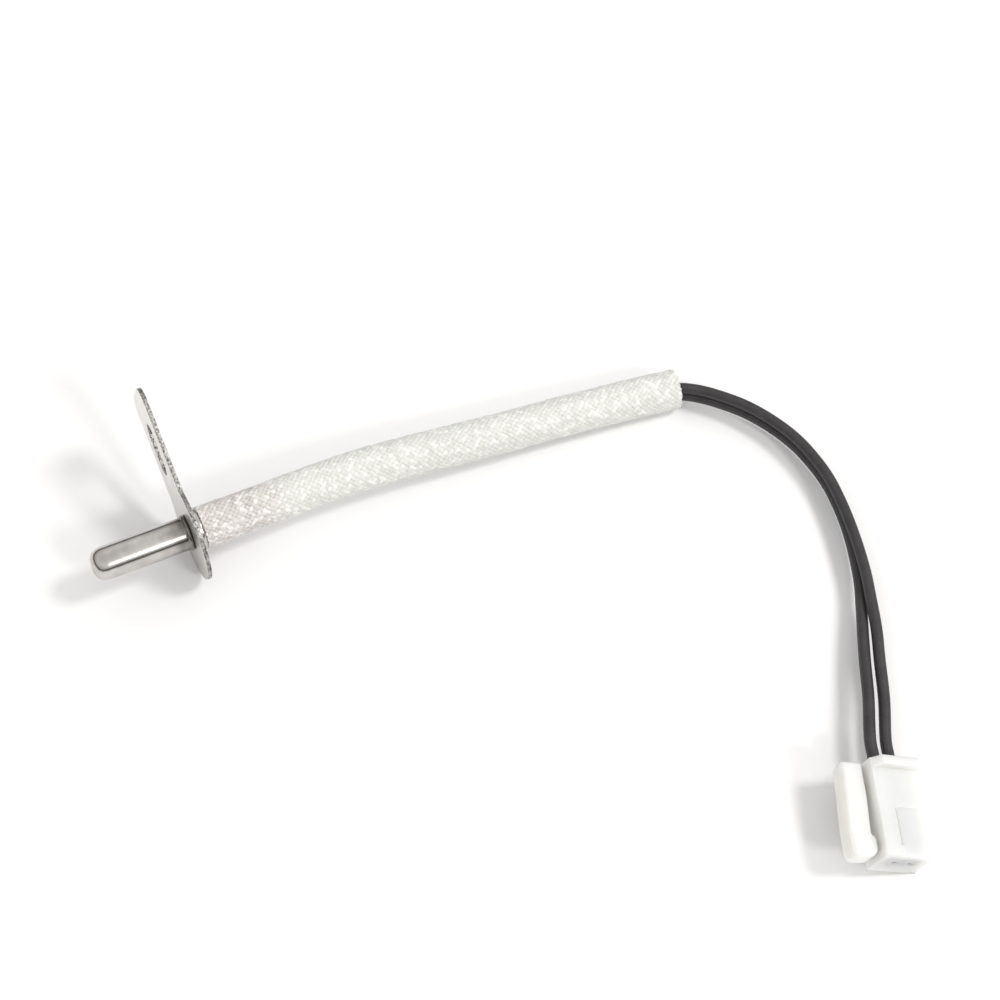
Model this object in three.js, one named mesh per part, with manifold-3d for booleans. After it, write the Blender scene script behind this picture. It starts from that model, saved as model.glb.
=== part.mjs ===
// Temperature probe for a boiler: a stainless sheath with a slotted mounting flange, a braided
// glass-fibre sleeve, two wires and a two-way latching connector.
// Millimetres, +Z up. The probe points along -X and the wires leave along +X. The flange's rim,
// the far end of the sleeve and one edge of the connector rest on the plane z = 0.
import * as THREE from 'three';
import { mergeVertices } from 'three/addons/utils/BufferGeometryUtils.js';
import Module from 'manifold-3d';

const wasm = await Module();
wasm.setup();

// ---- driving dimensions ----
const PROBE_DIAMETER = 5.0;
const PROBE_WALL = 0.3;
const NOSE_FULLNESS = 2.7; // exponent of the nose's superellipse: 2 would be a hemisphere
const PROBE_REACH = 14.8; // nose to the flange's front face
const PROBE_TAIL = 7.3; // flange's front face to the open end inside the sleeve
const PROBE_TILT = THREE.MathUtils.degToRad(3.3); // nose up, because the flange's rim props it
const PROBE_AT = [-0.3, 7.5]; // the flange's front face along the cord, and the probe's height there

const FLANGE_THICKNESS = 0.7;
const DISC_RADIUS = 7.45;
const TAB_WIDTH = 10.5;
const TAB_REACH = 22.05; // probe axis to the end of the tab
const TAB_CORNER = 2.9;
const TAB_FILLET = 2.0;
const TAB_RISE = THREE.MathUtils.degToRad(28.2); // the tab leans back from the horizontal
const SLOT_WIDTH = 4.2;
const SLOT_START = 9.0;
const SLOT_END = 17.0;

const FIT_GAP = 0.3; // between pieces that meet
const COLLAR_THICKNESS = 0.8;
const COLLAR_RADIUS = 3.3;

const SLEEVE_INNER_RADIUS = 2.85;
const SLEEVE_OUTER_RADIUS = 3.2;
const SLEEVE_SIDES = 12;
const SLEEVE_STEP = 5.0;

const WIRE_DIAMETER = 1.7;
const WIRE_SPREAD = 0.93; // each wire's offset from the cable's centreline, up or down
const WIRE_SIDES = 8;
const WIRE_STEP = 4.2;

const LEAD_RADIUS = 0.2;
const INSULATOR_INNER_RADIUS = 0.4;
const INSULATOR_RADIUS = 0.7;
const SPLICE_RADIUS = 0.65;

const CONNECTOR_AT = [71.4, -75.9]; // centre of the wire end, above the surface
const CONNECTOR_YAW = THREE.MathUtils.degToRad(-112.9); // from the wire end to the mating end
const CONNECTOR_ROLL = THREE.MathUtils.degToRad(20);
const HOUSING_LENGTH = 13.9;
const HOUSING_WIDTH = 7.4;
const HOUSING_HEIGHT = 5.6;
const HOUSING_CHAMFER = 0.4;
const CONTACT_PITCH = 2.5;
const CAVITY = [2.05, 2.3]; // across and up
const END_WALL = 0.6; // in front of the cavities
const PIN_HOLE = 1.3;
const RIM_LENGTH = 1.3;
const RIM_RISE = 1.2;
const LATCH_GAP = 0.55;
const LATCH_THICKNESS = 3.15; // at its root
const LATCH_HEIGHT = 3.0;
const LATCH_DROP = 1.4; // latch top below the housing's top face
const LATCH_ROOT_END = 2.9;
const LATCH_END = 13.7;
const LATCH_SPREAD = 0.5; // the lever's far end stands this much further out than its root
const LATCH_BEVEL = { start: 8.5, slope: 0.2 }; // of its upper outer edge
const WEB_TOP = 0.2; // of the low web between the latch's root and the housing

// Centreline of the sleeve, chosen by hand: in line with the probe, then down to the surface.
const SLEEVE_ROUTE = [
  [1.8, 0, 7.38], [6, 0, 7.14], [10, 0, 6.91], [18, 0.05, 6.46], [26, -0.15, 6.02],
  [34, -0.9, 5.58], [42, -1.9, 5.14], [50, -2.85, 4.7], [58, -3.7, 4.28], [66, -4.75, 3.86],
  [72, -5.6, 3.55], [78, -6.6, 3.28],
];
// Free stretch of each wire, from the sleeve's mouth to just before the connector.
const FREE_ROUTE_A = [
  [80.6, -8.7, 2.25], [83, -11, 2.2], [86, -14.7, 2.1], [88.3, -19, 2.0], [89.8, -23.5, 1.95],
  [90.4, -28, 1.9], [90.4, -32, 1.9], [89.8, -36, 1.9], [88.8, -40, 1.95], [87.2, -44.5, 2.05],
  [85.3, -48.8, 2.25], [83, -52.8, 2.65], [80.7, -56.6, 3.15], [78.2, -60.9, 3.6], [75.5, -65.8, 4.0],
];
const FREE_ROUTE_B = [
  [80.6, -8.7, 4.15], [83, -11, 4.1], [86, -14.7, 4.0], [88.3, -19, 3.9], [89.8, -23.5, 3.85],
  [90.4, -28, 3.8], [90.4, -32, 3.8], [89.8, -36, 3.8], [88.9, -40, 3.85], [87.6, -44.5, 3.95],
  [86.1, -48.8, 4.0], [84.4, -52.8, 3.95], [82.6, -57, 3.8], [80.1, -61.8, 3.65], [77.5, -66.9, 3.5],
];
const WIRE_STRAIGHT = 4.0; // straight run in front of the connector
const WIRE_STRIP = 3.0; // how far the insulation goes into the connector

const STEEL = { color: 0xa8a4a0, metalness: 1, roughness: 0.3 };
const PLATE = { color: 0xb9b6b2, metalness: 1, roughness: 0.35 };
const GLASS = { color: 0x6a4a30, metalness: 0, roughness: 0.15 };
const NICKEL = { color: 0xb0a890, metalness: 1, roughness: 0.35 };
const POLYMER = { color: 0xd8d4c4, metalness: 0, roughness: 0.5 };
const TIN = { color: 0xc4c4c8, metalness: 1, roughness: 0.3 };
const EPOXY = { color: 0x30302c, metalness: 0, roughness: 0.4 };
const BRAID = { color: 0xeae5da, metalness: 0, roughness: 0.8 };
const JACKET = { color: 0x2c2b2e, metalness: 0, roughness: 0.55 };
const COPPER = { color: 0xc07a50, metalness: 1, roughness: 0.35 };
const NYLON = { color: 0xf2efe4, metalness: 0, roughness: 0.45 };

// ---- shape helpers ----
function toManifold(geometry) {
  const bare = geometry.clone();
  bare.deleteAttribute('normal');
  bare.deleteAttribute('uv');
  const merged = mergeVertices(bare, 1e-4);
  return new wasm.Manifold(new wasm.Mesh({
    numProp: 3,
    vertProperties: new Float32Array(merged.attributes.position.array),
    triVerts: new Uint32Array(merged.index.array),
  }));
}

function fromManifold(manifold) {
  const { vertProperties, triVerts } = manifold.getMesh();
  const geometry = new THREE.BufferGeometry();
  geometry.setAttribute('position', new THREE.BufferAttribute(vertProperties, 3));
  geometry.setIndex(new THREE.BufferAttribute(triVerts, 1));
  geometry.computeVertexNormals();
  return geometry;
}

function cut(geometry, ...tools) {
  return fromManifold(tools.reduce((left, tool) => left.subtract(toManifold(tool)), toManifold(geometry)));
}

function join(geometry, ...others) {
  return fromManifold(others.reduce((sum, other) => sum.add(toManifold(other)), toManifold(geometry)));
}

// A body of revolution about X. The profile lists [x, radius] with the material on its left.
function revolve(profile, sides) {
  const points = profile.map(([x, radius]) => new THREE.Vector2(radius, x));
  return new THREE.LatheGeometry(points, sides).rotateZ(-Math.PI / 2);
}

function ring(start, end, innerRadius, outerRadius, sides) {
  return revolve([
    [start, innerRadius], [start, outerRadius], [end, outerRadius], [end, innerRadius], [start, innerRadius],
  ], sides);
}

function rod(start, end, radius, sides) {
  return revolve([[start, 0], [start, radius], [end, radius], [end, 0]], sides);
}

function block([x0, x1], [y0, y1], [z0, z1]) {
  const box = new THREE.BoxGeometry(x1 - x0, y1 - y0, z1 - z0);
  return box.translate((x0 + x1) / 2, (y0 + y1) / 2, (z0 + z1) / 2);
}

function polygon(sides, radius) {
  const corners = Array.from({ length: sides }, (_, i) => {
    const angle = ((i + 0.5) / sides) * 2 * Math.PI;
    return new THREE.Vector2(radius * Math.cos(angle), radius * Math.sin(angle));
  });
  return corners;
}

// A section swept along a smooth curve through the points.
function sweep(shape, points, stepLength) {
  const path = new THREE.CatmullRomCurve3(points, false, 'centripetal');
  const steps = Math.round(path.getLength() / stepLength);
  return new THREE.ExtrudeGeometry(shape, { extrudePath: path, steps, bevelEnabled: false });
}

function piece(name, geometry, look, parent) {
  const mesh = new THREE.Mesh(geometry, new THREE.MeshStandardMaterial(look));
  mesh.name = name;
  parent.add(mesh);
  return mesh;
}

const assembly = new THREE.Group();

// ---- probe: sheath, flange, collar and the parts sealed inside ----
const probe = new THREE.Group();
probe.position.set(PROBE_AT[0], 0, PROBE_AT[1]);
probe.rotation.y = PROBE_TILT;
assembly.add(probe);

function noseArc(radius, centre, count) {
  const power = 2 / NOSE_FULLNESS;
  return Array.from({ length: count + 1 }, (_, i) => {
    const angle = (i / count) * (Math.PI / 2);
    return [centre - radius * Math.cos(angle) ** power, radius * Math.sin(angle) ** power];
  });
}

function probeShell() {
  const outer = PROBE_DIAMETER / 2;
  const inner = outer - PROBE_WALL;
  const centre = outer - PROBE_REACH;
  return revolve([
    ...noseArc(outer, centre, 7),
    [PROBE_TAIL, outer],
    [PROBE_TAIL, inner],
    ...noseArc(inner, centre, 5).reverse(),
  ], 28);
}

function flangeOutline() {
  const half = TAB_WIDTH / 2;
  const filletX = half + TAB_FILLET;
  const filletY = Math.sqrt((DISC_RADIUS + TAB_FILLET) ** 2 - filletX ** 2);
  const meet = Math.atan2(filletY, filletX); // direction of the fillet's centre from the axis
  const shape = new THREE.Shape();
  shape.absarc(0, 0, DISC_RADIUS, meet, Math.PI - meet, true);
  shape.absarc(-filletX, filletY, TAB_FILLET, -meet, 0, false);
  shape.absarc(TAB_CORNER - half, TAB_REACH - TAB_CORNER, TAB_CORNER, Math.PI, Math.PI / 2, true);
  shape.absarc(half - TAB_CORNER, TAB_REACH - TAB_CORNER, TAB_CORNER, Math.PI / 2, 0, true);
  shape.absarc(filletX, filletY, TAB_FILLET, Math.PI, Math.PI + meet, false);
  return shape;
}

function obround(width, start, end) {
  const radius = width / 2;
  const hole = new THREE.Path();
  hole.absarc(0, end - radius, radius, 0, Math.PI, false);
  hole.absarc(0, start + radius, radius, Math.PI, 2 * Math.PI, false);
  return hole;
}

function mountingFlange() {
  const shape = flangeOutline();
  const bore = new THREE.Path();
  bore.absarc(0, 0, PROBE_DIAMETER / 2 + FIT_GAP, 0, 2 * Math.PI, false);
  shape.holes.push(bore, obround(SLOT_WIDTH, SLOT_START, SLOT_END));
  const plate = new THREE.ExtrudeGeometry(shape, {
    depth: FLANGE_THICKNESS, bevelEnabled: false, curveSegments: 10,
  });
  const along = new THREE.Vector3(0, Math.cos(TAB_RISE), Math.sin(TAB_RISE));
  const normal = new THREE.Vector3(1, 0, 0);
  const across = new THREE.Vector3().crossVectors(along, normal);
  return plate.applyMatrix4(new THREE.Matrix4().makeBasis(across, along, normal));
}

const collarStart = FLANGE_THICKNESS + FIT_GAP;
const collarInner = PROBE_DIAMETER / 2 + FIT_GAP;
piece('probe_shell', probeShell(), STEEL, probe);
piece('mounting_flange', mountingFlange(), PLATE, probe);
piece('retaining_collar', ring(collarStart, collarStart + COLLAR_THICKNESS, collarInner, COLLAR_RADIUS, 24),
  STEEL, probe);

const bead = new THREE.SphereGeometry(1, 14, 10).scale(1.6, 0.95, 1.3).translate(-12.4, 0, 0);
piece('thermistor_bead', bead, GLASS, probe);

for (const [letter, side] of [['a', -1], ['b', 1]]) {
  const offset = side * WIRE_SPREAD;
  piece(`element_lead_${letter}`, rod(-10.9, -5.2, LEAD_RADIUS, 8).translate(0, 0, offset), NICKEL, probe);
  piece(`lead_insulator_${letter}`,
    ring(-10.4, -5.6, INSULATOR_INNER_RADIUS, INSULATOR_RADIUS, 12).translate(0, 0, offset), POLYMER, probe);
  piece(`splice_${letter}`, rod(-4.9, -1.6, SPLICE_RADIUS, 12).translate(0, 0, offset), TIN, probe);
}

function pottingPlug() {
  const shape = new THREE.Shape(polygon(24, PROBE_DIAMETER / 2 - PROBE_WALL - 0.1));
  const passage = WIRE_DIAMETER / 2 + 0.12;
  shape.holes.push(obround(2 * passage, -WIRE_SPREAD - passage, WIRE_SPREAD + passage));
  const plug = new THREE.ExtrudeGeometry(shape, { depth: 3, bevelEnabled: false, curveSegments: 6 });
  const upright = new THREE.Matrix4().makeBasis(
    new THREE.Vector3(0, -1, 0), new THREE.Vector3(0, 0, 1), new THREE.Vector3(-1, 0, 0));
  return plug.applyMatrix4(upright).translate(PROBE_TAIL - 0.3, 0, 0);
}
piece('potting_plug', pottingPlug(), EPOXY, probe);

// ---- braided sleeve ----
const sleevePoints = SLEEVE_ROUTE.map((point) => new THREE.Vector3(...point));
const sleeveSection = new THREE.Shape(polygon(SLEEVE_SIDES, SLEEVE_OUTER_RADIUS));
sleeveSection.holes.push(new THREE.Path(polygon(SLEEVE_SIDES, SLEEVE_INNER_RADIUS).reverse()));
piece('braided_sleeve', sweep(sleeveSection, sleevePoints, SLEEVE_STEP), BRAID, assembly);

// ---- connector: X runs from the wire end to the mating end, Z is up before the roll ----
const halfWidth = HOUSING_WIDTH / 2;
const halfHeight = HOUSING_HEIGHT / 2;
const restHeight = halfWidth * Math.sin(CONNECTOR_ROLL) + halfHeight * Math.cos(CONNECTOR_ROLL);
const connector = new THREE.Group();
connector.position.set(...CONNECTOR_AT, restHeight);
connector.rotation.set(-CONNECTOR_ROLL, 0, CONNECTOR_YAW, 'ZYX');
assembly.add(connector);

const latchTop = halfHeight - LATCH_DROP;
const latchBottom = latchTop - LATCH_HEIGHT;
const latchInner = -halfWidth - LATCH_GAP;
const latchOuter = latchInner - LATCH_THICKNESS;

function extrudeUp(shape, bottom, top) {
  const depth = top - bottom;
  const solid = new THREE.ExtrudeGeometry(shape, { depth, bevelEnabled: false, curveSegments: 5 });
  return solid.translate(0, 0, bottom);
}

// A section drawn in (Y, Z), standing on the wire end.
function extrudeAlong(shape, length) {
  const solid = new THREE.ExtrudeGeometry(shape, { depth: length, bevelEnabled: false });
  return solid.applyMatrix4(new THREE.Matrix4().makeBasis(
    new THREE.Vector3(0, 1, 0), new THREE.Vector3(0, 0, 1), new THREE.Vector3(1, 0, 0)));
}

function housing() {
  const shape = new THREE.Shape([
    [-1, -1, 1, 0], [-1, -1, 0, 1], [-1, 1, 0, -1], [-1, 1, 1, 0],
    [1, 1, -1, 0], [1, 1, 0, -1], [1, -1, 0, 1], [1, -1, -1, 0],
  ].map(([y, z, inY, inZ]) => new THREE.Vector2(
    y * halfWidth + inY * HOUSING_CHAMFER, z * halfHeight + inZ * HOUSING_CHAMFER)).reverse());
  const body = extrudeAlong(shape, HOUSING_LENGTH);
  const rimShape = new THREE.Shape([
    new THREE.Vector2(-halfWidth + 0.2, halfHeight - 0.5),
    new THREE.Vector2(halfWidth - 0.1, halfHeight - 0.5),
    new THREE.Vector2(halfWidth - 0.1, halfHeight),
    new THREE.Vector2(halfWidth - 0.4, halfHeight + RIM_RISE),
    new THREE.Vector2(-halfWidth + 1.3, halfHeight + RIM_RISE),
    new THREE.Vector2(-halfWidth + 0.2, halfHeight),
  ]);
  const rim = extrudeAlong(rimShape, RIM_LENGTH);
  const root = block([0.2, LATCH_ROOT_END], [latchOuter, latchInner], [latchBottom, latchTop]);
  const web = block([0.2, LATCH_ROOT_END], [latchInner - 0.5, -halfWidth + 0.5], [latchBottom, WEB_TOP]);
  const middles = [-CONTACT_PITCH / 2, CONTACT_PITCH / 2];
  const cavities = middles.map((middle) => block([-1, HOUSING_LENGTH - END_WALL],
    [middle - CAVITY[0] / 2, middle + CAVITY[0] / 2], [-CAVITY[1] / 2, CAVITY[1] / 2]));
  const pinHoles = middles.map((middle) => block([HOUSING_LENGTH - 1, HOUSING_LENGTH + 1],
    [middle - PIN_HOLE / 2, middle + PIN_HOLE / 2], [-PIN_HOLE / 2, PIN_HOLE / 2]));
  const key = block([6.9, HOUSING_LENGTH + 1], [-1.0, halfWidth + 1], [halfHeight - 0.3, halfHeight + 1]);
  const groove = block([7.2, 12.4], [-1.3, -0.9], [halfHeight - 0.9, halfHeight + 1]);
  return cut(join(body, root, web, rim), ...cavities, ...pinHoles, key, groove);
}

// Seen from above: a bar that spreads a little, with a hook on its inner side near the end.
// A sloping bevel takes off its upper outer edge there.
function latchLever() {
  const start = LATCH_ROOT_END + FIT_GAP;
  const outer = latchOuter - LATCH_SPREAD;
  const outline = new THREE.Shape();
  outline.moveTo(start, latchOuter);
  outline.lineTo(9.6, outer);
  outline.lineTo(LATCH_END - 0.7, outer);
  outline.quadraticCurveTo(LATCH_END, outer, LATCH_END, outer + 0.9);
  outline.lineTo(LATCH_END, latchInner - 1.2);
  outline.quadraticCurveTo(LATCH_END, latchInner + 0.25, LATCH_END - 1.3, latchInner + 0.25);
  outline.lineTo(LATCH_END - 2.6, latchInner + 0.25);
  outline.lineTo(LATCH_END - 3.0, latchInner - 0.4);
  outline.lineTo(5.0, latchInner);
  outline.lineTo(start, latchInner);
  const keep = new THREE.Vector3(-LATCH_BEVEL.slope, 1, -1).normalize();
  const edge = new THREE.Vector3(LATCH_BEVEL.start, outer, latchTop);
  const bar = toManifold(extrudeUp(outline, latchBottom, latchTop));
  return fromManifold(bar.trimByPlane(keep.toArray(), keep.dot(edge)));
}

// A contact: a square box that takes the mating pin, and an open crimp barrel behind it.
function terminal() {
  const outer = block([3.7, 13.0], [-0.85, 0.85], [-0.85, 0.85]);
  const bore = block([3, 14], [-0.6, 0.6], [-0.6, 0.6]);
  const crimpMouth = block([3, 6.9], [-0.35, 0.35], [0, 2]);
  const neck = block([6.9, 7.7], [-2, 2], [0, 2]);
  return cut(outer, bore, crimpMouth, neck);
}

piece('connector_housing', housing(), NYLON, connector);
piece('latch_lever', latchLever(), NYLON, connector);

// ---- wires, with their stripped ends and contacts ----
assembly.updateMatrixWorld(true);
const mouth = sleevePoints[sleevePoints.length - 1];
const freeRoutes = { a: FREE_ROUTE_A, b: FREE_ROUTE_B };

for (const [letter, side] of [['a', -1], ['b', 1]]) {
  const lift = new THREE.Vector3(0, 0, side * WIRE_SPREAD);
  const inProbe = [-1.3, 0.5].map((x) => probe.localToWorld(new THREE.Vector3(x, 0, 0)));
  const middle = (side * CONTACT_PITCH) / 2;
  const entry = [-WIRE_STRAIGHT, -WIRE_STRAIGHT / 2, 0, WIRE_STRIP].map(
    (x) => connector.localToWorld(new THREE.Vector3(x, middle, 0)));
  const points = [
    ...inProbe.map((point) => point.add(lift)),
    ...sleevePoints.slice(0, -1).map((point) => point.clone().add(lift)),
    new THREE.Vector3(mouth.x, mouth.y - 0.5, mouth.z).add(lift),
    ...freeRoutes[letter].map((point) => new THREE.Vector3(...point)),
    ...entry,
  ];
  const section = new THREE.Shape(polygon(WIRE_SIDES, WIRE_DIAMETER / 2));
  piece(`wire_${letter}`, sweep(section, points, WIRE_STEP), JACKET, assembly);
  piece(`conductor_end_${letter}`, rod(WIRE_STRIP + FIT_GAP, 6.6, 0.36, 8).translate(0, middle, 0),
    COPPER, connector);
  piece(`terminal_${letter}`, terminal().translate(0, middle, 0), TIN, connector);
}

// ---- origin: on the surface, under the middle of the probe and its flange ----
const foot = new THREE.Box3();
for (const mesh of probe.children) {
  foot.expandByObject(mesh, true);
}
assembly.position.set(-(foot.min.x + foot.max.x) / 2, -(foot.min.y + foot.max.y) / 2, -foot.min.z);

const group = new THREE.Group();
group.add(assembly);
export default group;
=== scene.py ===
"""A boiler's temperature probe: a bullet-nosed steel sheath in a slotted flange, a braided
glass-fibre sleeve, and two wires that end in a latching connector. Everything is in metres,
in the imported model's frame; MM turns the millimetres below into metres."""

import math

import bpy
import numpy as np
from mathutils import Matrix, Vector


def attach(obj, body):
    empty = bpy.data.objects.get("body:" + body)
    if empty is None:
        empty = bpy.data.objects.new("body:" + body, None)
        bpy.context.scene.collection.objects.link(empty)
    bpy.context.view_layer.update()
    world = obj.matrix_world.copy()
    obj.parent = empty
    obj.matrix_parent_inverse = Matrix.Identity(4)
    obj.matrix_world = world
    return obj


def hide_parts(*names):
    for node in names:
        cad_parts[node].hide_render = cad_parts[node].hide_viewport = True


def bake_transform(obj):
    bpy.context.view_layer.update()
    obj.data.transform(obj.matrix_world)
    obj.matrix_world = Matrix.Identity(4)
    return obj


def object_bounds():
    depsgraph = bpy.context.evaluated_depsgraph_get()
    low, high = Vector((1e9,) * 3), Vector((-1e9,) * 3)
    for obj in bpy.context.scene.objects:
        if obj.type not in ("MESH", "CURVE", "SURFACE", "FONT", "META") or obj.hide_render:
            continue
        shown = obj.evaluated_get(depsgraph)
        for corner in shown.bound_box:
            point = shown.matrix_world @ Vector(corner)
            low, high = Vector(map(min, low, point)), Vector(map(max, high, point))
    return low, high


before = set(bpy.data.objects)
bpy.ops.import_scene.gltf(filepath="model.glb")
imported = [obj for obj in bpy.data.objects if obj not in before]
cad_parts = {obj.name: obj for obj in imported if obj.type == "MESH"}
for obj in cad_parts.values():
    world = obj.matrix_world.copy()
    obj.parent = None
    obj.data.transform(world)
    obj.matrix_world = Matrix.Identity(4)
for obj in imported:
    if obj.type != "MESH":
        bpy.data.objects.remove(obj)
cad_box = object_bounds()

MM = 0.001
ROOT = "probe_and_cord"
ROW_SHIFT = np.array([3.972, -6.721, -0.033])  # mm, from the CAD's assembly to the row's origin
rng = np.random.default_rng(11)

# ---- driving dimensions, in mm ----
SHEATH_RADIUS = 2.5
SHEATH_WALL = 0.3
NOSE_FULLNESS = 2.7  # exponent of the nose's superellipse: 2 would be a hemisphere
SHEATH_REACH = 14.8  # nose to the flange's front face
SHEATH_TAIL = 7.3  # flange's front face to the open end
SHEATH_TILT = math.radians(3.3)
PROBE_AT = (-0.3, 0, 7.5)  # the middle of the flange's front face
SHEATH_BEAD = (0.7, 0.24)  # the swaged bead's width and height
SHEATH_LIP = 0.15  # radius of the rolled edge at the open end
FLANGE_THICKNESS = 0.7
FLANGE_BORE = 2.52
FLANGE_ROLL = 0.09  # radius of the edges that the punch rolls over
DISC_RADIUS = 7.45
TAB_WIDTH = 10.5
TAB_REACH = 22.05
TAB_CORNER = 2.9
TAB_FILLET = 2.0
TAB_RISE = math.radians(28.2)
SLOT = (4.2, 9.0, 17.0)  # width, near end, far end
COLLAR = (0.72, 1.8, 2.52, 3.3)  # start, end, inner radius, outer radius
COLLAR_EDGES = (0.22, 0.3)  # radii of its front and back outer edges
SLEEVE_RADIUS = 3.2
SLEEVE_BORE = 2.75
WIRE_RADIUS = 0.85
WIRE_SPREAD = 0.93
WIRE_SIDES = 28
WIRES_IN_SHEATH = (-1.3, 0.5)  # the first two points, which keep the start straight
CONTACT_PITCH = 2.5
HOUSING = (13.9, 7.4, 5.6)  # long, wide, high
CONNECTOR_AT = (71.4, -75.9)
CONNECTOR_YAW = math.radians(-112.9)
CONNECTOR_ROLL = math.radians(20)
LATCH = (0.2, 13.7)  # start, end
LATCH_TOP = 1.4
LATCH_BOTTOM = -1.6
LATCH_EDGE = 0.42  # radius along the arm
LATCH_END_EDGE = 0.35  # radius at its two ends
LATCH_BEVEL = (8.5, 0.2, -7.9)  # start, slope, and the outer side that it cuts
WIRE_STRAIGHT = 4.0
WIRE_STRIP = 3.0
CAMERA_AT = (-17.93, -151.81, 230.87)
CAMERA_AIM = (49.08, -17.67, -0.03)
CAMERA_LENS = 64.8

# ---- the routes of the CAD's cord, in mm in its assembly ----
SLEEVE_START = (1.52, 0, 7.395)  # against the collar
SLEEVE_ROUTE = [
    (1.8, 0, 7.38), (6, 0, 7.14), (10, 0, 6.91), (18, 0.05, 6.46), (26, -0.15, 6.02),
    (34, -0.9, 5.58), (42, -1.9, 5.14), (50, -2.85, 4.7), (58, -3.7, 4.28), (66, -4.75, 3.86),
    (72, -5.6, 3.55), (78, -6.6, 3.28),
]
FREE_ROUTES = {
    "a": [
        (80.6, -8.7, 2.25), (83, -11, 2.2), (86, -14.7, 2.1), (88.3, -19, 2.0),
        (89.8, -23.5, 1.95), (90.4, -28, 1.9), (90.4, -32, 1.9), (89.8, -36, 1.9),
        (88.8, -40, 1.95), (87.2, -44.5, 2.05), (85.3, -48.8, 2.25), (83, -52.8, 2.65),
        (80.7, -56.6, 3.15), (78.2, -60.9, 3.6), (75.5, -65.8, 4.0),
    ],
    "b": [
        (80.6, -8.7, 4.15), (83, -11, 4.1), (86, -14.7, 4.0), (88.3, -19, 3.9),
        (89.8, -23.5, 3.85), (90.4, -28, 3.8), (90.4, -32, 3.8), (89.8, -36, 3.8),
        (88.9, -40, 3.85), (87.6, -44.5, 3.95), (86.1, -48.8, 4.0), (84.4, -52.8, 3.95),
        (82.6, -57, 3.8), (80.1, -61.8, 3.65), (77.5, -66.9, 3.5),
    ],
}

SHIFT = Matrix.Translation(Vector(ROW_SHIFT) * MM)
PROBE = SHIFT @ Matrix.Translation(Vector(PROBE_AT) * MM) @ Matrix.Rotation(SHEATH_TILT, 4, "Y")
CONNECTOR_HEIGHT = (
    HOUSING[1] / 2 * math.sin(CONNECTOR_ROLL) + HOUSING[2] / 2 * math.cos(CONNECTOR_ROLL)
)
CONNECTOR = (
    SHIFT
    @ Matrix.Translation(Vector((*CONNECTOR_AT, CONNECTOR_HEIGHT)) * MM)
    @ Matrix.Rotation(CONNECTOR_YAW, 4, "Z")
    @ Matrix.Rotation(-CONNECTOR_ROLL, 4, "X")
)


def in_row(matrix, point):
    """A local point in mm, in the row frame in mm."""
    return np.array(matrix @ (Vector(point) * MM)) / MM


# ---- camera ----
camera = bpy.data.objects.new("camera", bpy.data.cameras.new("camera"))
bpy.context.scene.collection.objects.link(camera)
camera.location = Vector(CAMERA_AT) * MM
aim = Vector(CAMERA_AIM) * MM - camera.location
camera.rotation_euler = aim.to_track_quat("-Z", "Y").to_euler()
camera.data.sensor_width = 36
camera.data.lens = CAMERA_LENS
camera.data.clip_start = 0.01
bpy.context.scene.camera = camera
bpy.context.scene.view_settings.view_transform = "Standard"


# ---- shapes ----
def link(name, mesh, matrix=None):
    obj = bpy.data.objects.new(name, mesh)
    bpy.context.scene.collection.objects.link(obj)
    if matrix is not None:
        obj.matrix_world = matrix
    return obj


def smooth_path(points, step):
    """Points about step apart on the centripetal Catmull-Rom curve through the given ones."""
    p = np.asarray(points, float)
    p = np.vstack([2 * p[0] - p[1], p, 2 * p[-1] - p[-2]])
    t = np.linspace(0, 1, 60, endpoint=False)[:, None]
    dense = []
    for before, start, end, after in zip(p, p[1:], p[2:], p[3:]):
        gaps = (start - before, end - start, after - end)
        d0, d1, d2 = (math.sqrt(np.linalg.norm(gap)) for gap in gaps)
        out = d1 * ((start - before) / d0 - (end - before) / (d0 + d1) + (end - start) / d1)
        into = d1 * ((end - start) / d1 - (after - start) / (d1 + d2) + (after - end) / d2)
        dense.append(
            start + out * t
            + (3 * (end - start) - 2 * out - into) * t**2
            + (2 * (start - end) + out + into) * t**3
        )
    dense = np.vstack([*dense, p[-2]])
    run = np.concatenate([[0], np.cumsum(np.linalg.norm(np.diff(dense, axis=0), axis=1))])
    at = np.linspace(0, run[-1], int(round(run[-1] / step)) + 1)
    return np.stack([np.interp(at, run, dense[:, i]) for i in range(3)], axis=1), at


def rings_along(path, radii, angles):
    """Rings of points round a path that never turns upright. radii is one row per ring."""
    tangent = np.gradient(path, axis=0)
    tangent /= np.linalg.norm(tangent, axis=1, keepdims=True)
    up = np.array([0, 0, 1.0]) - tangent * tangent[:, 2:3]
    up /= np.linalg.norm(up, axis=1, keepdims=True)
    side = np.cross(tangent, up)
    cos, sin = np.cos(angles)[None, :, None], np.sin(angles)[None, :, None]
    round_about = cos * up[:, None] + sin * side[:, None]
    return path[:, None] + round_about * radii[:, :, None]


def ring_mesh(name, rings, wrap=False):
    """A closed skin over rings of points in mm. With wrap the last ring joins the first, and
    without it each end is capped."""
    rows, columns = rings.shape[:2]
    index = np.arange(rows * columns).reshape(rows, columns)
    if wrap:
        index = np.vstack([index, index[:1]])
    near, far = index[:-1], index[1:]
    quads = np.stack([near, np.roll(near, -1, 1), np.roll(far, -1, 1), far], axis=-1)
    faces = quads.reshape(-1, 4).tolist()
    if not wrap:
        faces += [index[0][::-1].tolist(), index[-1].tolist()]
    mesh = bpy.data.meshes.new(name)
    mesh.from_pydata((rings.reshape(-1, 3) * MM).tolist(), [], faces)
    mesh.shade_smooth()
    return mesh


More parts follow.
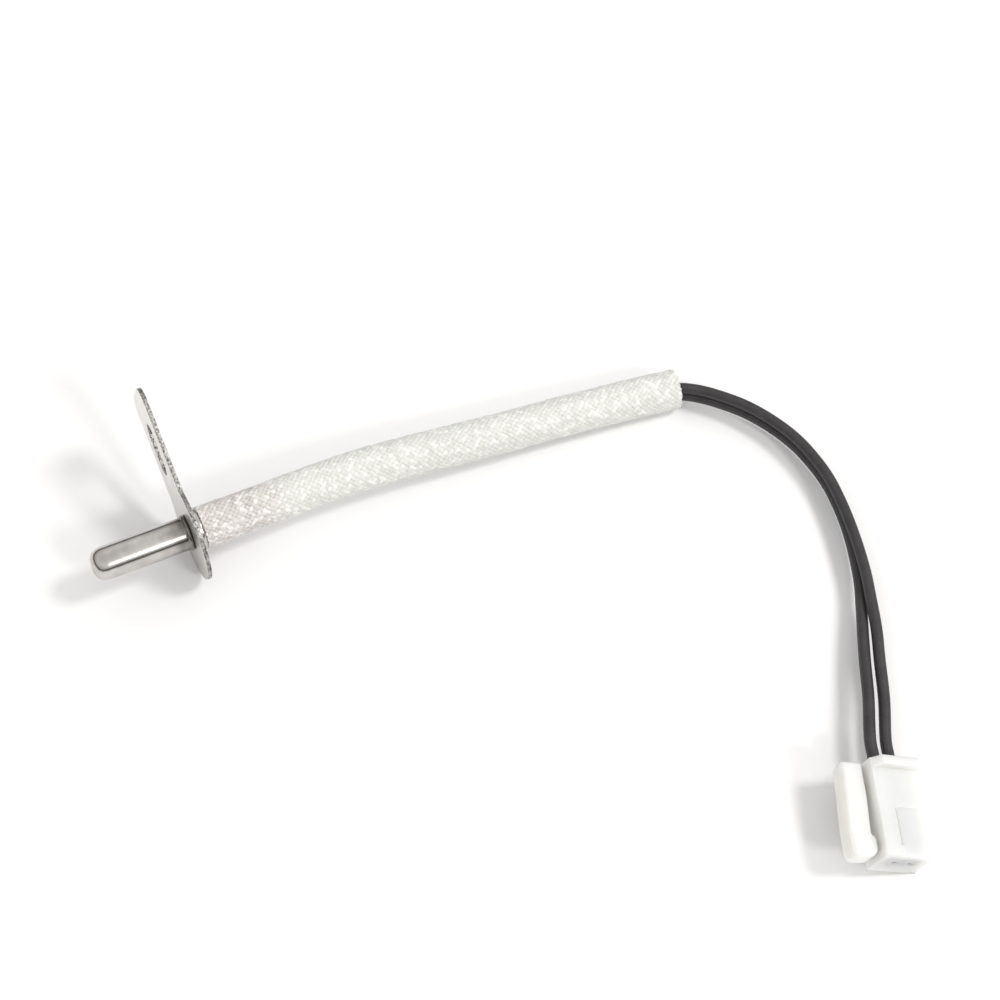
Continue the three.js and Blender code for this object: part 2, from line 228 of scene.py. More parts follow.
def store(mesh, name, values):
    """Keeps one number per vertex, or three, for the material to read."""
    kind = "FLOAT" if values.ndim == 1 else "FLOAT_VECTOR"
    field = mesh.attributes.new(name, kind, "POINT")
    key = "value" if values.ndim == 1 else "vector"
    field.data.foreach_set(key, values.astype(np.float32).ravel())


def lathe(name, profile, sides, wrap=False):
    """A body of revolution about local X. The profile lists (x, radius) in mm, the way the
    axis runs on its outside."""
    profile = np.array(profile)
    angles = np.linspace(0, 2 * math.pi, sides, endpoint=False)
    x = np.repeat(profile[:, :1], sides, axis=1)
    y = -profile[:, 1:] * np.sin(angles)
    z = profile[:, 1:] * np.cos(angles)
    return ring_mesh(name, np.stack([x, y, z], axis=-1), wrap)


def arc(x, y, radius, start, end, count):
    """Points on an arc in mm. Angles in radians, and start above end turns clockwise."""
    a = np.linspace(start, end, count)
    return np.stack([x + radius * np.cos(a), y + radius * np.sin(a)], axis=1)


def baked(obj):
    """The object's mesh with its modifiers applied."""
    graph = bpy.context.evaluated_depsgraph_get()
    return bpy.data.meshes.new_from_object(obj.evaluated_get(graph))


# ---- the cord: two wires in a braided sleeve ----
def wire_path(letter, side):
    lift = np.array([0, 0, side * WIRE_SPREAD])
    mouth = np.array(SLEEVE_ROUTE[-1]) + (0, -0.5, 0)
    sleeved = [np.array(p) for p in SLEEVE_ROUTE[:-1]] + [mouth]
    middle = side * CONTACT_PITCH / 2
    at_contact = (-WIRE_STRAIGHT, -WIRE_STRAIGHT / 2, 0, WIRE_STRIP)
    points = (
        [in_row(PROBE, (x, 0, 0)) + lift for x in WIRES_IN_SHEATH]
        + [p + lift + ROW_SHIFT for p in sleeved]
        + [np.array(p) + ROW_SHIFT for p in FREE_ROUTES[letter]]
        + [in_row(CONNECTOR, (x, middle, 0)) for x in at_contact]
    )
    return smooth_path(points, 0.5)


def wire(letter, side):
    """A round jacket with the faint swell and flat of extruded insulation, cut square."""
    path, run = wire_path(letter, side)
    angles = np.linspace(0, 2 * math.pi, WIRE_SIDES, endpoint=False)
    phase = rng.uniform(0, 2 * math.pi, 3)
    swell = 0.010 * np.sin(run / 7 + phase[0]) + 0.006 * np.sin(run / 2.3 + phase[1])
    radii = WIRE_RADIUS + swell[:, None] + 0.008 * np.cos(2 * angles + phase[2])[None]
    mesh = ring_mesh(f"wire_jacket_{letter}", rings_along(path, radii, angles))
    obj = link(f"wire_jacket_{letter}", mesh)
    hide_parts(f"wire_{letter}")
    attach(obj, ROOT)
    return obj, path, run[-1]


YARNS = 22  # each way round
BRAID_STEP = 0.11  # mm between the mesh's rings
BRAID_COLUMNS = 176
BRAID_DROP = 0.2  # mm from the sleeve's radius down to where the yarns' heights start
WAVE = 0.065  # mm that a yarn rises and falls as it crosses the others
CROWN = 0.115  # mm that its middle stands above its edges
CROSSINGS = 997  # rows of crossings in the tables, more than the braid has


def braid_height(u, v, fullness):
    """Height in mm of a plain braid at yarn coordinates u and v, and which of the two yarns is
    on top (1 for the first)."""
    over = [
        np.cos(np.pi * np.floor(u)) * np.sin(np.pi * v),
        -np.cos(np.pi * np.floor(v)) * np.sin(np.pi * u),
    ]
    heights = []
    for across, wave in zip((u, v), over):
        crown = np.sqrt(np.clip(1 - ((across % 1 - 0.5) / 0.5) ** 2, 0, 1))
        heights.append(WAVE * wave + CROWN * fullness * crown)
    first = heights[0] > heights[1]
    return np.where(first, *heights), first


def sleeve():
    """The braid's yarns are in the mesh itself: each goes over one and under the next."""
    route = np.array([SLEEVE_START, *SLEEVE_ROUTE]) + ROW_SHIFT
    path, run = smooth_path(route, BRAID_STEP)
    around = np.linspace(0, 2 * math.pi, BRAID_COLUMNS, endpoint=False)
    angles = around + math.pi  # the seam is underneath
    ring, far = around[None], run[:, None]
    turn = YARNS * ring / (2 * math.pi)
    stretch = 1 + 0.03 * np.sin(run / 9)
    along = YARNS / (2 * math.pi * SLEEVE_RADIUS) * np.cumsum(stretch) * BRAID_STEP
    slow = far / 2.6
    wander = [
        0.10 * np.sin(slow + 3 * ring + shift) + 0.09 * np.sin(2.3 * slow - 5 * ring + 2 * shift)
        for shift in (0.4, 2.1)
    ]
    u, v = turn + along[:, None] + wander[0], turn - along[:, None] + wander[1]
    # Every crossing has its own fullness and its own random value, which sets its tint and
    # whether it gets a painted glint.
    row, column = np.floor(u).astype(int), np.floor(v).astype(int)
    crossing = (row % YARNS, (row - column) % CROSSINGS)
    fullness = rng.uniform(0.55, 1.35, (YARNS, CROSSINGS))[crossing]
    tint_and_glint = rng.uniform(0, 1, (YARNS, CROSSINGS))[crossing]
    height, first = braid_height(u, v, fullness)
    height = height + rng.normal(0, 0.012, height.shape)
    # The tube sags a little out of round between its ends.
    oval = 0.035 * np.cos(2 * ring + far / 11) + 0.03 * np.sin(far / 6.3 + ring)
    radii = SLEEVE_RADIUS - BRAID_DROP + height + oval
    outside = rings_along(path, radii, angles)
    ragged = 0.09 * rng.normal(0, 1, (2, BRAID_COLUMNS, 1))
    direction = path[-1] - path[-2]
    direction /= np.linalg.norm(direction)
    outside[-1] += direction * ragged[0]
    outside[0] += direction * np.abs(ragged[1])
    coarse = np.linspace(0, len(path) - 1, 60).astype(int)[::-1]
    bore = np.full((len(path), BRAID_COLUMNS), SLEEVE_BORE)
    inside = rings_along(path, bore, angles)[coarse]
    mesh = ring_mesh("glass_braid", np.vstack([outside, inside]), wrap=True)

    def with_inside(values, inner):
        return np.concatenate([values.ravel(), np.full(inside.shape[0] * BRAID_COLUMNS, inner)])

    yarn = np.stack([
        with_inside(np.where(first, u, v), 0),
        with_inside(np.where(first, v, u), 0),
        with_inside(first.astype(float), 0),
    ], axis=1)
    store(mesh, "yarn", yarn)
    store(mesh, "crown", with_inside(np.clip(height / 0.18, 0, 1), 0))
    store(mesh, "tint_and_glint", with_inside(tint_and_glint, 0.5))
    store(mesh, "run", np.repeat(np.concatenate([run, run[coarse]]), BRAID_COLUMNS))
    obj = link("glass_braid", mesh)
    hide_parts("braided_sleeve")
    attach(obj, ROOT)
    return obj, path, run[-1]


wires = {letter: wire(letter, side) for letter, side in (("a", -1), ("b", 1))}
braid, braid_path, braid_length = sleeve()


# ---- the probe ----
def nose_curve(centre, radius, count):
    """Half of the nose's outline, from a hair off its tip to where the tube is full."""
    a = np.linspace(0.0002, math.pi / 2, count)
    power = 2 / NOSE_FULLNESS
    return np.stack([centre - radius * np.cos(a) ** power, radius * np.sin(a) ** power], axis=1)


def sheath():
    """A drawn tube with a blunt round nose, a swaged bead in front of the flange, and a
    rolled edge at its open end."""
    centre = SHEATH_RADIUS - SHEATH_REACH
    inner = SHEATH_RADIUS - SHEATH_WALL
    nose = nose_curve(centre, SHEATH_RADIUS, 34)
    width, rise = SHEATH_BEAD
    bead = [
        (width * t - width, SHEATH_RADIUS + rise * math.sin(math.pi * t) ** 0.8)
        for t in np.linspace(0, 1, 13)
    ]
    quarter = math.pi / 2
    lip = arc(
        SHEATH_TAIL - SHEATH_LIP, SHEATH_RADIUS - SHEATH_LIP, SHEATH_LIP, quarter, -quarter, 9
    )
    hollow = nose_curve(centre, inner, 16)[::-1]
    stretch = [(x, SHEATH_RADIUS) for x in np.linspace(centre + 0.4, -0.9, 16)]
    tail = [(0.2, SHEATH_RADIUS), (3.5, SHEATH_RADIUS)]
    profile = np.vstack([nose, stretch, bead, tail, lip, hollow])
    obj = link("sheath", lathe("sheath", profile, 112, wrap=True), PROBE)
    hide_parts("probe_shell")
    return obj


def collar():
    """A pressed ring behind the flange, rounded on its outer edges."""
    start, end, inner, outer = COLLAR
    front, back = COLLAR_EDGES
    profile = np.vstack([
        [(start, inner)],
        arc(start + front, outer - front, front, math.pi, math.pi / 2, 7),
        arc(end - back, outer - back, back, math.pi / 2, 0, 8),
        [(end, inner)],
    ])
    obj = link("pressed_collar", lathe("pressed_collar", profile, 72, wrap=True), PROBE)
    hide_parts("retaining_collar")
    return obj


def flange():
    """A stamping: flat faces, edges rolled over by the punch, and sheared walls."""
    half = TAB_WIDTH / 2
    fillet_x = half + TAB_FILLET
    fillet_y = math.sqrt((DISC_RADIUS + TAB_FILLET) ** 2 - fillet_x**2)
    meet = math.atan2(fillet_y, fillet_x)
    outline = np.vstack([
        arc(0, 0, DISC_RADIUS, meet, -math.pi - meet, 90),
        arc(-fillet_x, fillet_y, TAB_FILLET, -meet, 0, 10)[1:],
        arc(TAB_CORNER - half, TAB_REACH - TAB_CORNER, TAB_CORNER, math.pi, math.pi / 2, 20),
        arc(half - TAB_CORNER, TAB_REACH - TAB_CORNER, TAB_CORNER, math.pi / 2, 0, 20),
        arc(fillet_x, fillet_y, TAB_FILLET, math.pi, math.pi + meet, 10)[:-1],
    ])
    width, near, far = SLOT
    slot = np.vstack([
        arc(0, far - width / 2, width / 2, 0, math.pi, 24),
        arc(0, near + width / 2, width / 2, math.pi, 2 * math.pi, 24),
    ])
    bore = arc(0, 0, FLANGE_BORE, 0, 2 * math.pi, 65)[:-1]
    curve = bpy.data.curves.new("stamping", "CURVE")
    curve.dimensions = "2D"
    curve.fill_mode = "BOTH"
    curve.extrude = (FLANGE_THICKNESS / 2 - FLANGE_ROLL) * MM
    curve.bevel_depth = FLANGE_ROLL * MM
    curve.bevel_resolution = 2
    curve.offset = -FLANGE_ROLL * MM
    for loop in (outline, slot, bore):
        spline = curve.splines.new("POLY")
        spline.points.add(len(loop) - 1)
        for point, (x, y) in zip(spline.points, loop):
            point.co = (x * MM, y * MM, 0, 1)
        spline.use_cyclic_u = True
    source = link("stamping_curve", curve)
    mesh = baked(source)
    bpy.data.objects.remove(source)
    along = Vector((0, math.cos(TAB_RISE), math.sin(TAB_RISE)))
    normal = Vector((1, 0, 0))
    basis = Matrix((along.cross(normal), along, normal)).transposed().to_4x4()
    lifted = basis @ Matrix.Translation((0, 0, FLANGE_THICKNESS / 2 * MM))
    obj = link("stamped_flange", mesh, PROBE)
    weld = obj.modifiers.new("weld", "WELD")
    weld.merge_threshold = 0.002 * MM
    obj.data = baked(obj)
    obj.modifiers.clear()
    for face in obj.data.polygons:
        face.use_smooth = True
        face.material_index = int(abs(face.normal.z) < 0.6)  # 1 on the punched walls
    obj.data.transform(lifted)
    obj.data.set_sharp_from_angle(angle=math.radians(40))
    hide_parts("mounting_flange")
    return obj


probe_sheath = sheath()
stamping = flange()
back_collar = collar()


# ---- the connector ----
def prism(name, section, start, end):
    """A solid along local X. Its section lists (y, z) in mm, anticlockwise seen from +X."""
    count = len(section)
    points = [(x * MM, y * MM, z * MM) for x in (start, end) for y, z in section]
    faces = [tuple(range(count))[::-1], tuple(range(count, 2 * count))]
    faces += [(i, (i + 1) % count, (i + 1) % count + count, i + count) for i in range(count)]
    mesh = bpy.data.meshes.new(name)
    mesh.from_pydata(points, [], faces)
    return link(name, mesh)


def box(x, y, z):
    """The section, start and end of a box, for prism."""
    return [(y[0], z[0]), (y[1], z[0]), (y[1], z[1]), (y[0], z[1])], x[0], x[1]


def combine(obj, operation, solids):
    for solid in solids:
        tool = prism("tool", *solid)
        cut = obj.modifiers.new("cut", "BOOLEAN")
        cut.operation = operation
        cut.solver = "EXACT"
        cut.object = tool
        obj.data = baked(obj)
        obj.modifiers.clear()
        bpy.data.objects.remove(tool)


def soften(obj, width, segments):
    """Small radii on every edge, as a mould leaves them."""
    bevel = obj.modifiers.new("radius", "BEVEL")
    bevel.width = width * MM
    bevel.segments = segments
    bevel.limit_method = "ANGLE"
    bevel.angle_limit = math.radians(30)
    bevel.harden_normals = True
    obj.data.shade_smooth()
    obj.data = baked(obj)
    obj.modifiers.clear()


def housing():
    """The moulded box: a raised rim with ramped ends at the wire end, a shallow recess with a
    groove beside it on top, two contact cavities, the small windows under them, and the web
    that carries the latch."""
    length, width, height = HOUSING
    side, top = width / 2, height / 2
    obj = prism("connector_body", *box((0, length), (-side, side), (-top, top)))
    rim_rise, rim_foot, rim_length = 1.2, 0.8, 1.3
    rim = [
        (0.2 - side, top - rim_foot), (side - 0.1, top - rim_foot), (side - 0.1, top),
        (side - 0.4, top + rim_rise), (1.3 - side, top + rim_rise), (0.2 - side, top),
    ]
    web = box((LATCH[0], 2.9), (-side - 1.0, 0.5 - side), (LATCH_BOTTOM, 0.2))
    combine(obj, "UNION", [(rim, 0, rim_length), web])

    def pair(x, across, z):
        """The same box round the middle of each contact."""
        middles = (-CONTACT_PITCH / 2, CONTACT_PITCH / 2)
        return [box(x, (middle - across, middle + across), z) for middle in middles]

    end_wall, clear = 0.6, 1  # clear is how far a cut goes on outside the body
    cavities = pair((-clear, length - end_wall), 1.02, (-1.15, 1.15))
    pins = pair((length - 1, length + clear), 0.5, (-0.5, 0.5))
    windows = pair((8.2, 9.9), 0.55, (-top - clear, -1))
    recess = box((6.9, length + clear), (-1.0, side + clear), (top - 0.3, top + clear))
    groove = box((7.2, 12.4), (-1.3, -0.9), (top - 0.8, top + clear))
    combine(obj, "DIFFERENCE", cavities + pins + windows + [recess, groove])
    soften(obj, 0.2, 3)
    obj.matrix_world = CONNECTOR
    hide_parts("connector_housing")
    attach(obj, ROOT)
    return obj


def latch():
    """A springy arm, moulded on the housing's side at its root: it spreads a little, carries a
    hook on its inner side, and a sloping bevel takes off its upper outer edge near the end."""
    start, end = LATCH
    bevel_start, bevel_slope, bevel_side = LATCH_BEVEL
    inner_x = [0.2, 5.0, 10.6, 10.9, 12.4, 13.1, 13.5, 13.7]
    inner_y = [-4.25, -4.25, -4.68, -4.02, -4.0, -4.25, -4.8, -5.5]
    outer_x = [0.2, 0.5, 3.2, 9.6, 13.0, 13.5, 13.7]
    outer_y = [-7.1, -7.35, -7.4, -7.9, -7.9, -7.6, -7.0]
    crowded = end - 0.25 * np.linspace(0, 1, 8) ** 2
    x = np.unique(np.concatenate([np.linspace(start, end, 90), crowded]))
    inner = np.interp(x, inner_x, inner_y)
    outer = np.interp(x, outer_x, outer_y)
    soft = np.array([0.25, 0.5, 0.25])
    for _ in range(2):
        inner[1:-1] = np.convolve(inner, soft, "valid")
        outer[1:-1] = np.convolve(outer, soft, "valid")
    rings = []
    for at, low, high in zip(x, outer, inner):
        inset = 1 - min(1, min(at - start, end - at) / LATCH_END_EDGE)
        shrink = LATCH_END_EDGE * (1 - math.sqrt(max(0, 1 - inset**2)))
        radius = min(LATCH_EDGE, (high - low) / 2 - 0.01)
        y0, y1, z0, z1 = low, high, LATCH_BOTTOM + shrink, LATCH_TOP - shrink
        corners = [(y1, z1, 0), (y0, z1, 1), (y0, z0, 2), (y1, z0, 3)]
        ring = np.vstack([
            arc(
                y + (-1 if y == y1 else 1) * radius, z + (-1 if z == z1 else 1) * radius, radius,
                quarter * math.pi / 2, (quarter + 1) * math.pi / 2, 6,
            )
            for y, z, quarter in corners
        ])
        # The bevel's plane, at 45 degrees: points beyond it are moved back onto it.
        leg = bevel_slope * max(0, at - bevel_start)
        beyond = np.maximum(0, leg - (ring[:, 0] - bevel_side) + (ring[:, 1] - LATCH_TOP)) / 2
        ring += np.stack([beyond, -beyond], axis=1)
        rings.append([(at, y, z) for y, z in ring])
    obj = link("latch_arm", ring_mesh("latch_arm", np.array(rings)), CONNECTOR)
    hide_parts("latch_lever")
    return obj


body = housing()
arm = latch()
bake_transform(arm)

for part, slot_name in (
    (probe_sheath, "sheath_steel"), (stamping, "flange_steel"), (back_collar, "sheath_steel"),
):
    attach(part, ROOT)


# ---- materials ----
class Look:
    """A Principled material and the few kinds of node that the materials here are made of."""

    def __init__(self, name, **values):
        self.material = bpy.data.materials.new(name)
        self.material.use_nodes = True
        self.tree = self.material.node_tree
        self.shader = self.tree.nodes["Principled BSDF"]
        for key, value in values.items():
            self.shader.inputs[key.replace("_", " ")].default_value = value

    def node(self, kind, output=0, settings=(), **inputs):
        made = self.tree.nodes.new("ShaderNode" + kind)
        for key, value in dict(settings).items():
            setattr(made, key, value)
        for key, value in inputs.items():
            by_index = key[0] == "i" and key[1:].isdigit()
            socket = made.inputs[int(key[1:]) if by_index else key.replace("_", " ")]
            if isinstance(value, bpy.types.NodeSocket):
                self.tree.links.new(value, socket)
            else:
                socket.default_value = value
        return made.outputs[output]

    def place(self, scale=(1, 1, 1)):
        """The object's own coordinates, in mm, stretched by scale."""
        coords = self.node("TexCoord", output="Object")
        return self.node("Mapping", Vector=coords, Scale=tuple(s / MM for s in scale))

    def split(self, vector):
        """The three outputs X, Y and Z of a vector."""
        made = self.tree.nodes.new("ShaderNodeSeparateXYZ")
        self.tree.links.new(vector, made.inputs[0])
        return made.outputs

    def noise(self, vector, scale, detail=3.0, roughness=0.55):
        return self.node(
            "TexNoise", Vector=vector, Scale=scale, Detail=detail, Roughness=roughness
        )

    def field(self, name, output="Fac"):
        return self.node("Attribute", output=output, settings={"attribute_name": name})

    def math(self, operation, a, b):
        return self.node("Math", settings={"operation": operation}, i0=a, i1=b)

    def span(self, value, low, high, to_low=0.0, to_high=1.0):
        """value from low to high, as to_low to to_high, held at both ends."""
        return self.node(
            "MapRange", Value=value, From_Min=low, From_Max=high, To_Min=to_low, To_Max=to_high
        )

    def mix(self, factor, a, b):
        a, b = ((*c, 1) if isinstance(c, tuple) else c for c in (a, b))
        return self.node("Mix", output=2, settings={"data_type": "RGBA"}, i0=factor, i6=a, i7=b)

    def bump(self, height, strength, depth, under=None):
        extra = {} if under is None else {"Normal": under}
        return self.node("Bump", Height=height, Strength=strength, Distance=depth * MM, **extra)

    def scatter(self, *radii):
        """How far red, green and blue light go inside, in mm."""
        self.shader.inputs["Subsurface Radius"].default_value = tuple(r * MM for r in radii)
        self.shader.inputs["Subsurface Scale"].default_value = 1.0

    def use(self, **sockets):
        for key, value in sockets.items():
            self.tree.links.new(value, self.shader.inputs[key.replace("_", " ")])
        return self.material


def tube_steel(name, dark_reflection_strength):
    """Drawn stainless tube: long fine lines, a haze of handling marks, and a painted dark
    reflection towards the flange, as strong as the second argument says."""
    look = Look(name, Metallic=1.0)
    lines = look.noise(look.place((0.05, 5, 5)), 1.0, 4)
    turned = look.noise(look.place((9, 0.15, 0.15)), 1.0, 2)
    cloud = look.noise(look.place(), 0.35, 4)
    grain = look.noise(look.place(), 9, 2)
    tone = look.mix(look.span(cloud, 0.35, 0.7), (0.50, 0.475, 0.455), (0.66, 0.635, 0.61))
    tone = look.mix(look.span(grain, 0.55, 0.75, 0, 0.25), tone, (0.30, 0.28, 0.27))
    along = look.split(look.place())[0]
    # Painted dark reflection: the colour darkens over the last few mm in front of the flange,
    # where the tube mirrors the flange's shaded face.
    dark_reflection_reach = look.math("ADD", look.span(cloud, 0.3, 0.7, -1.8, 1.8), along)
    tone = look.mix(look.span(dark_reflection_reach, -4.2, -0.6, 0, dark_reflection_strength), tone, (0.10, 0.09, 0.075))
    streaks, haze = look.span(lines, 0.3, 0.7, 0.13, 0.21), look.span(grain, 0.3, 0.7, 0, 0.08)
    rough = look.math("ADD", streaks, haze)
    relief = look.bump(lines, 0.35, 0.012)
    relief = look.bump(turned, 0.12, 0.01, relief)
    relief = look.bump(grain, 0.2, 0.006, relief)
    return look.use(Base_Color=tone, Roughness=rough, Normal=relief)


def plate_face():
    """Plated sheet: dull, faintly rolled, with scattered dark specks and painted shade towards
    the disc.
    """
    look = Look("plate_face", Metallic=1.0)
    rolled = look.noise(look.place((4, 0.2, 4)), 1.0, 3)
    cloud = look.noise(look.place(), 0.5, 4)
    speck = look.noise(look.place(), 5.5, 2)
    tone = look.mix(look.span(cloud, 0.3, 0.7), (0.80, 0.785, 0.76), (0.90, 0.885, 0.86))
    # Painted shade: the face is darkened towards the disc and lighter up the tab.
    height = look.split(look.place())[2]
    tone = look.mix(look.span(height, -7.0, 5.0, 0.75, 0), tone, (0.52, 0.51, 0.48))
    tone = look.mix(look.span(speck, 0.63, 0.72, 0, 0.5), tone, (0.2, 0.19, 0.18))
    rough = look.span(cloud, 0.3, 0.7, 0.3, 0.42)
    relief = look.bump(rolled, 0.3, 0.01)
    relief = look.bump(speck, 0.25, 0.015, relief)
    return look.use(Base_Color=tone, Roughness=rough, Normal=relief)


def sheared_edge():
    """The punched wall: torn, pitted and darker than the faces, with bright burrs."""
    look = Look("sheared_edge", Metallic=1.0)
    tear = look.noise(look.place((3.2, 3.2, 1.1)), 1.0, 5, 0.7)
    pit = look.noise(look.place(), 4.2, 3)
    tone = look.mix(look.span(tear, 0.38, 0.60), (0.08, 0.075, 0.07), (0.60, 0.59, 0.57))
    tone = look.mix(look.span(pit, 0.56, 0.64, 0, 0.9), tone, (0.035, 0.03, 0.03))
    rough = look.span(tear, 0.3, 0.7, 0.3, 0.6)
    relief = look.bump(tear, 0.8, 0.08)
    relief = look.bump(pit, 0.6, 0.05, relief)
    return look.use(Base_Color=tone, Roughness=rough, Normal=relief)


def glass_fibre():
    """Varnished glass yarn: filaments along each yarn, painted shade between the crowns, painted
    glints on some crossings, and a greyer, resin-stained stretch next to the flange."""
    look = Look("glass_fibre", Roughness=0.5, Sheen_Weight=0.15, Subsurface_Weight=0.12, IOR=1.5)
    look.scatter(0.5, 0.45, 0.35)
    across, along, which = look.split(look.field("yarn", "Vector"))
    stretched = look.node(
        "CombineXYZ", X=look.math("MULTIPLY", across, 10.0),
        Y=look.math("MULTIPLY", along, 1.1), Z=look.math("MULTIPLY", which, 7.0),
    )
    filaments = look.noise(stretched, 1.0, 3, 0.6)
    patch = look.noise(look.place(), 0.45, 3)
    painted_glint_spots = look.noise(look.place(), 1.6, 2)
    crown = look.field("crown")
    tint_and_glint = look.field("tint_and_glint")
    # Painted shade: each yarn is darker towards its edges and lighter on its crown.
    tone = look.mix(look.span(crown, 0.15, 0.75), (0.54, 0.54, 0.50), (0.745, 0.75, 0.72))
    tone = look.mix(look.span(tint_and_glint, 0.0, 0.4, 0.4, 0), tone, (0.60, 0.60, 0.565))
    tone = look.mix(look.span(filaments, 0.35, 0.7, 0, 0.25), tone, (0.60, 0.60, 0.56))
    # Painted glints: the brightest crossings and a scatter of spots are lifted towards white.
    tone = look.mix(look.span(tint_and_glint, 0.7, 0.95, 0, 0.6), tone, (0.93, 0.935, 0.91))
    tone = look.mix(look.span(painted_glint_spots, 0.54, 0.66, 0, 0.4), tone, (0.92, 0.925, 0.90))
    tone = look.mix(look.span(patch, 0.5, 0.75, 0, 0.25), tone, (0.66, 0.66, 0.60))
    reach = look.math("ADD", look.field("run"), look.span(patch, 0.3, 0.7, -2.5, 2.5))
    # Painted shade between the crowns on the stained stretch too.
    stained = look.mix(look.span(crown, 0.1, 0.8), (0.30, 0.265, 0.25), (0.63, 0.59, 0.57))
    # Painted glints on the stained stretch as well.
    stained = look.mix(look.span(tint_and_glint, 0.6, 0.9, 0, 0.75), stained, (0.90, 0.87, 0.86))
    stained = look.mix(look.span(painted_glint_spots, 0.55, 0.68, 0, 0.6), stained, (0.90, 0.87, 0.86))
    tone = look.mix(look.span(reach, 9.0, 13.5, 0.9, 0), tone, stained)
    relief = look.bump(filaments, 0.5, 0.03)
    rough = look.span(filaments, 0.3, 0.7, 0.38, 0.6)
    return look.use(Base_Color=tone, Roughness=rough, Normal=relief)


def wire_jacket():
    """Charcoal jacket: satin, with faint draw lines and a little dust."""
    look = Look("wire_jacket", Roughness=0.5, IOR=1.5)
    grain = look.noise(look.place(), 6, 3)
    cloud = look.noise(look.place(), 0.5, 3)
    dust = look.noise(look.place(), 4.5, 2)
    tone = look.mix(look.span(cloud, 0.3, 0.7), (0.026, 0.024, 0.026), (0.040, 0.037, 0.039))
    tone = look.mix(look.span(dust, 0.66, 0.74, 0, 0.5), tone, (0.16, 0.15, 0.15))
    rough = look.span(grain, 0.3, 0.7, 0.42, 0.62)
    return look.use(Base_Color=tone, Roughness=rough, Normal=look.bump(grain, 0.4, 0.02))


def natural_nylon():
    """Ivory moulding: light goes into it a little, and the mould's fine texture dulls it."""
    look = Look("natural_nylon", Roughness=0.4, IOR=1.53, Subsurface_Weight=1.0)
    look.scatter(5.0, 4.6, 4.0)
    cloud = look.noise(look.place(), 0.25, 3)
    texture = look.noise(look.place(), 7, 3)
    flow = look.noise(look.place((0.15, 0.9, 0.9)), 1.0, 2)
    tone = look.mix(look.span(cloud, 0.3, 0.7), (0.80, 0.79, 0.75), (0.83, 0.825, 0.79))
    tone = look.mix(look.span(flow, 0.55, 0.75, 0, 0.3), tone, (0.79, 0.775, 0.725))
    rough = look.span(texture, 0.3, 0.7, 0.34, 0.5)
    relief = look.bump(texture, 0.18, 0.02)
    relief = look.bump(cloud, 0.2, 0.15, relief)
    return look.use(Base_Color=tone, Roughness=rough, Normal=relief)


def mottled(name, dark, light, scale, roughness, metallic=0.0, **values):
    """A plain surface with a soft mottle and a fine grain, for the pieces inside."""
    look = Look(name, Metallic=metallic, **values)
    cloud = look.noise(look.place(), scale, 3)
    grain = look.noise(look.place(), 12 * scale, 2)
    rough = look.span(grain, 0.3, 0.7, roughness - 0.06, roughness + 0.08)
    tone = look.mix(look.span(cloud, 0.3, 0.7), dark, light)
    return look.use(Base_Color=tone, Roughness=rough, Normal=look.bump(grain, 0.3, 0.015))


def dress(obj, *materials):
    obj.data.materials.clear()
    for made in materials:
        obj.data.materials.append(made)


nylon = natural_nylon()
jacket_look = wire_jacket()
dress(probe_sheath, tube_steel("sheath_steel", 0.85))
dress(back_collar, tube_steel("collar_steel", 0.1))
stamping_sides = [face.material_index for face in stamping.data.polygons]
dress(stamping, plate_face(), sheared_edge())
stamping.data.polygons.foreach_set("material_index", stamping_sides)
dress(braid, glass_fibre())
dress(body, nylon)
dress(arm, nylon)
for jacket, _, _ in wires.values():
    dress(jacket, jacket_look)

tinned = mottled("tinned_contact", (0.66, 0.65, 0.62), (0.80, 0.79, 0.76), 1.2, 0.3, 1.0)
inner_looks = {
    "thermistor_bead": mottled(
        "bead_glass", (0.42, 0.17, 0.06), (0.58, 0.28, 0.11), 1.0, 0.12, Coat_Weight=0.6
    ),
    "element_lead": mottled(
        "lead_metal", (0.42, 0.39, 0.34), (0.55, 0.52, 0.47), 2.0, 0.35, 1.0
    ),
    "lead_insulator": mottled(
        "insulator_film", (0.55, 0.38, 0.12), (0.68, 0.50, 0.20), 1.0, 0.35
    ),
    "splice": tinned,
    "potting_plug": mottled(
        "potting_resin", (0.018, 0.017, 0.016), (0.03, 0.028, 0.026), 0.8, 0.4
    ),
    "conductor_end": mottled(
        "tinned_copper", (0.62, 0.36, 0.24), (0.78, 0.58, 0.44), 3.0, 0.35, 1.0
    ),
    "terminal": tinned,
}
for node_name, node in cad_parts.items():
    for start, made in inner_looks.items():
        if node_name.startswith(start):
            for place in node.material_slots:
                place.material = made

# ---- floor and light ----
FLOOR_REACH = 20  # metres from the middle to each edge
LAMP_DISTANCE = 1.2  # metres
ROOM = [(0.0, 0.015), (0.17, 0.04), (0.36, 0.66), (0.75, 0.92), (1.0, 0.82)]  # height, grey

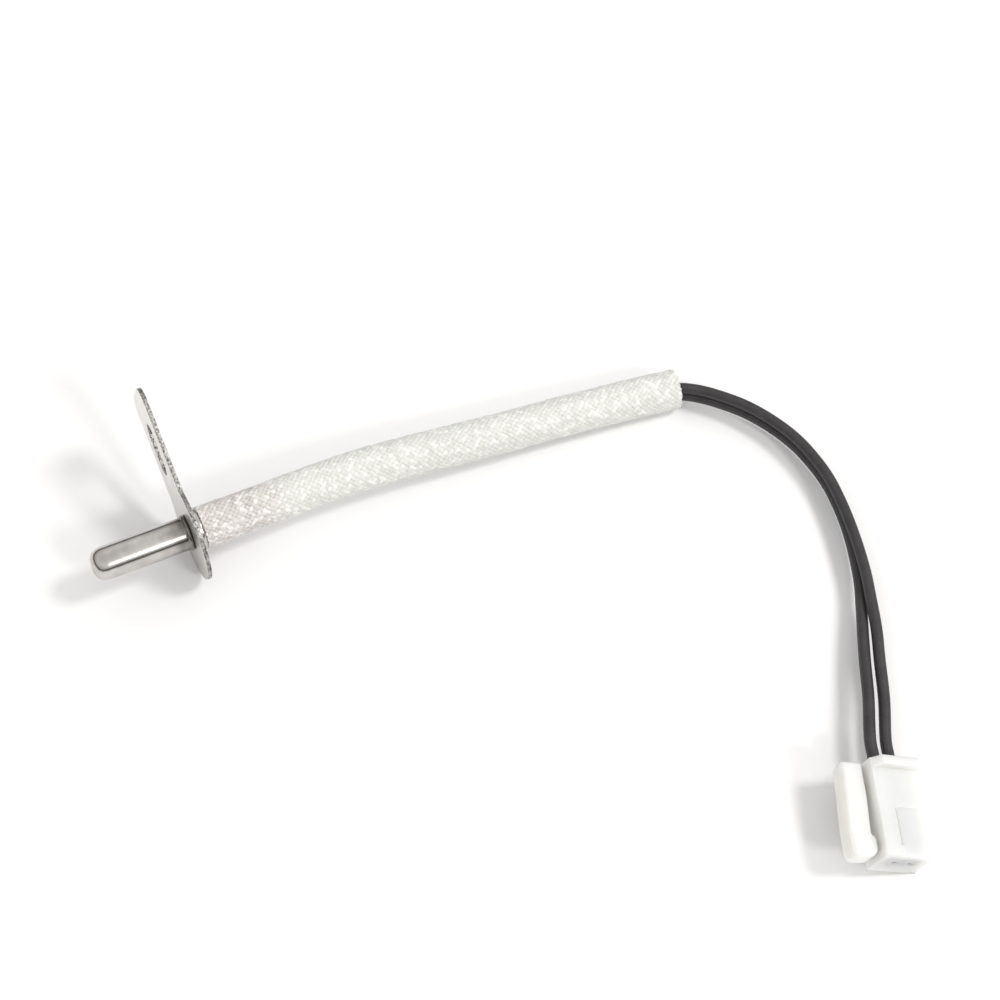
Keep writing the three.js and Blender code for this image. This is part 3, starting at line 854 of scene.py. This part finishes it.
floor_corners = [
    (x * FLOOR_REACH, y * FLOOR_REACH, 0) for x, y in ((-1, -1), (1, -1), (1, 1), (-1, 1))
]
floor_mesh = bpy.data.meshes.new("floor")
floor_mesh.from_pydata(floor_corners, [], [(0, 1, 2, 3)])
floor = link("floor", floor_mesh)
paper = Look("pale_floor", Roughness=0.9, Specular_IOR_Level=0.1)
pulp = paper.noise(paper.place(), 0.8, 3)
dress(floor, paper.use(Base_Color=paper.mix(pulp, (0.915, 0.915, 0.92), (0.93, 0.93, 0.93))))

middle_point = Vector([(low + high) / 2 for low, high in zip(*cad_box)])
middle_point.z = 0


def lamp(name, direction, radius, power, colour):
    data = bpy.data.lights.new(name, "AREA")
    data.shape = "DISK"
    data.size = 2 * radius
    data.energy = power
    data.color = colour
    obj = bpy.data.objects.new(name, data)
    bpy.context.scene.collection.objects.link(obj)
    ray = Vector(direction).normalized()
    obj.location = middle_point + ray * LAMP_DISTANCE
    obj.rotation_euler = (-ray).to_track_quat("-Z", "Y").to_euler()


lamp("front_lamp", (0.2285, -0.7565, 0.6157), 0.11, 3.4, (1.0, 0.985, 0.96))
lamp("right_lamp", (0.53, -0.283, 0.80), 0.13, 5.0, (1.0, 0.99, 0.975))

# A pale room: brightest overhead, dim where the walls meet the floor's edge.
room = bpy.data.worlds.new("room")
bpy.context.scene.world = room
room.use_nodes = True
nodes, links = room.node_tree.nodes, room.node_tree.links
heading = nodes.new("ShaderNodeTexCoord")
split = nodes.new("ShaderNodeSeparateXYZ")
fade = nodes.new("ShaderNodeValToRGB")
links.new(heading.outputs["Generated"], split.inputs[0])
links.new(split.outputs["Z"], fade.inputs["Fac"])
ramp = fade.color_ramp.elements
ramp.remove(ramp[1])
for number, (place, grey) in enumerate(ROOM):
    stop = ramp[0] if number == 0 else ramp.new(place)
    stop.position = place
    stop.color = (grey, grey * 0.99, grey * 0.98, 1)
links.new(fade.outputs["Color"], nodes["Background"].inputs["Color"])
nodes["Background"].inputs["Strength"].default_value = 1.0

bpy.context.view_layer.update()
